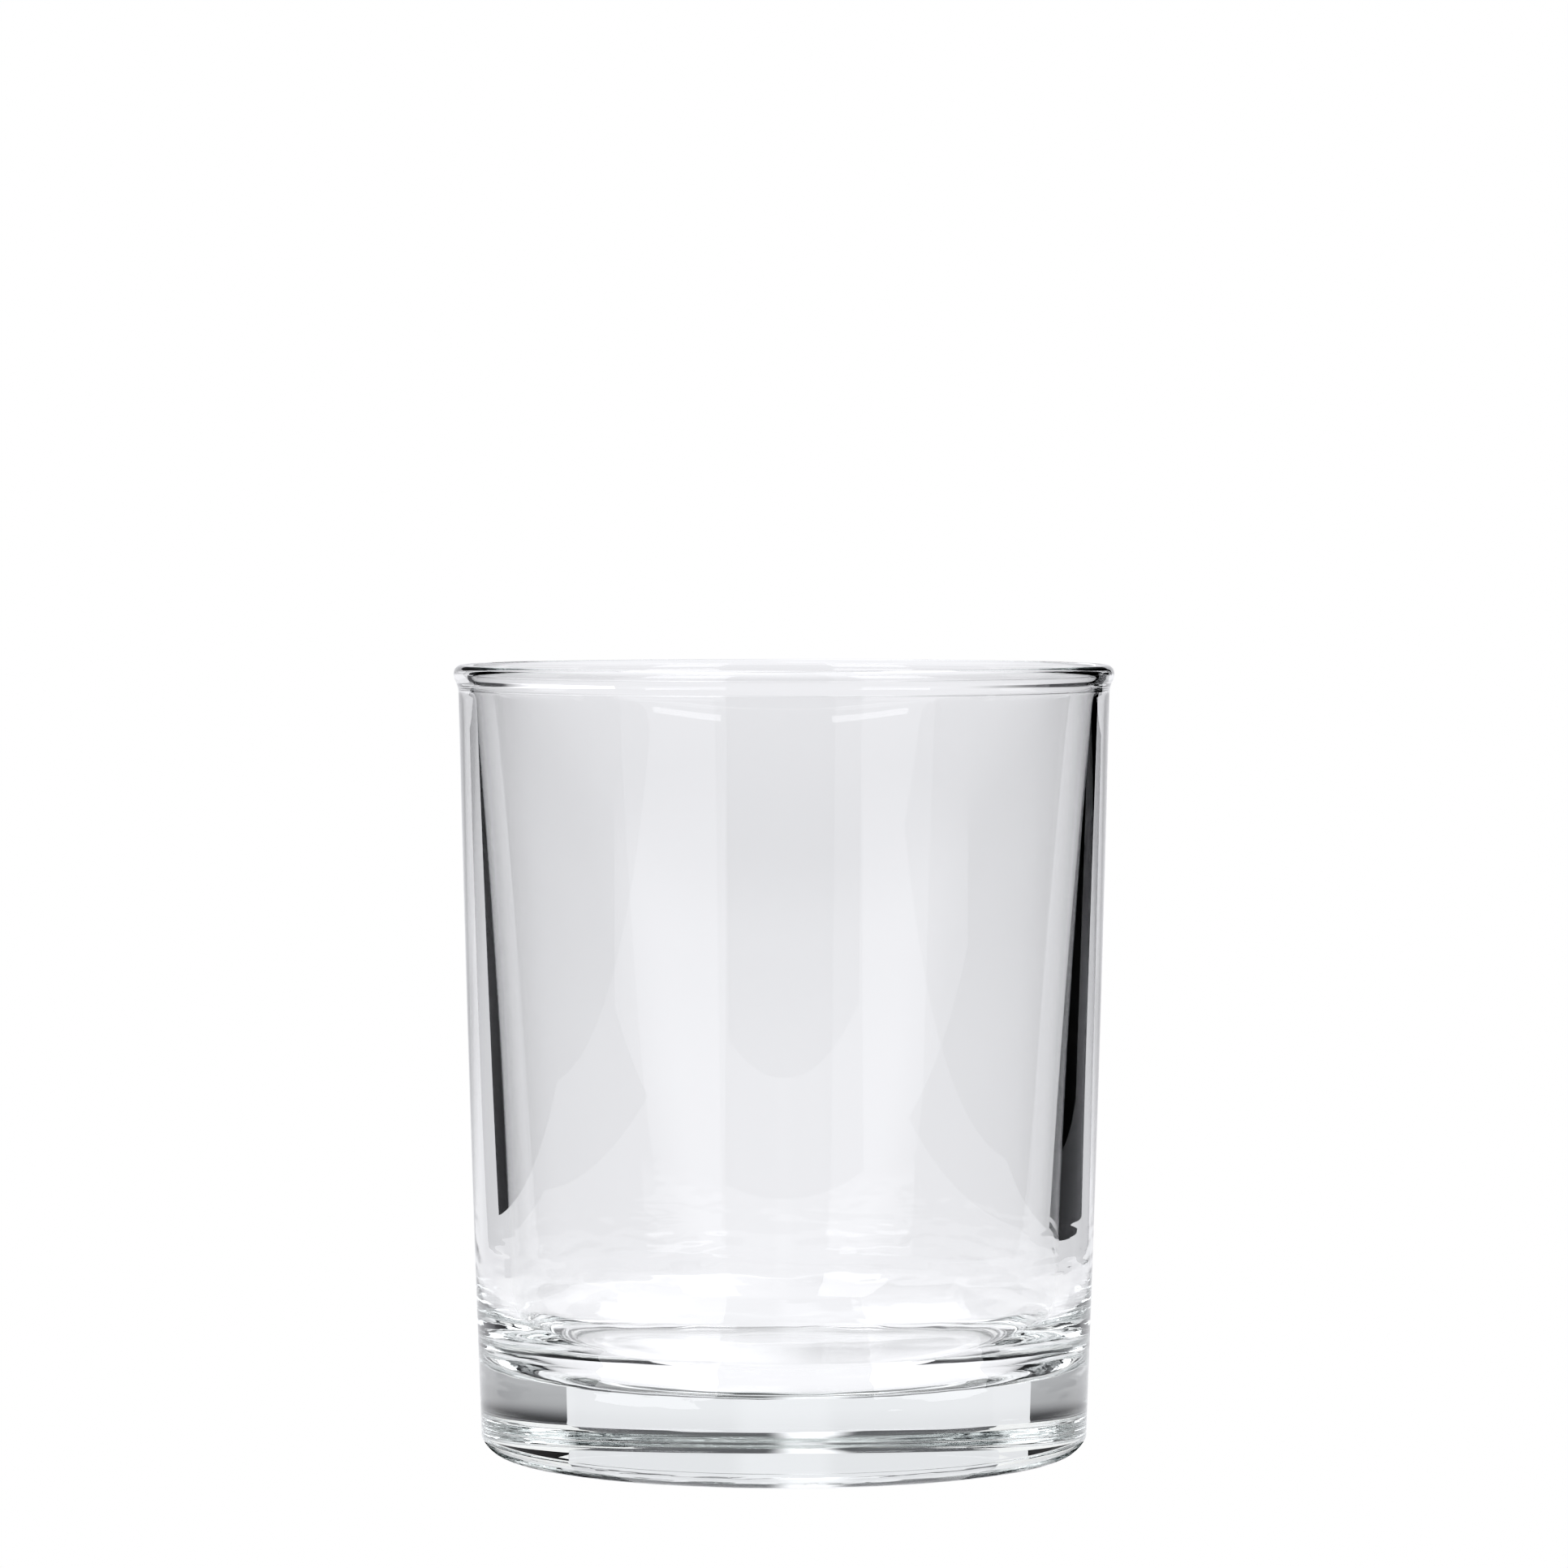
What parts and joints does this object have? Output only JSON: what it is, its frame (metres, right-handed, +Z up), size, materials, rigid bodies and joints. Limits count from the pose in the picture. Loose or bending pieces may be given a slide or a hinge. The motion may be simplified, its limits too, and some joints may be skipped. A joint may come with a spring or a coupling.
{
  "type": "whisky tumbler",
  "caption": "Clear pressed-glass whisky tumbler with a slightly tapered round body, a beaded rim, walls that thicken downwards and a heavy base; holds a drink.",
  "frame": {"origin": "centre of the foot ring, on the surface that the tumbler stands on", "axes": "+Z up along the tumbler's axis, towards the mouth; the body is round, so X and Y are alike"},
  "size_m": [0.08, 0.08, 0.0955],
  "materials": {
    "clear_glass": "fire-polished clear soda-lime glass, faintly grey-green through its thickness"
  },
  "bodies": {
    "root": {"tumbler_glass": "clear_glass"}
  },
  "joints": []
}
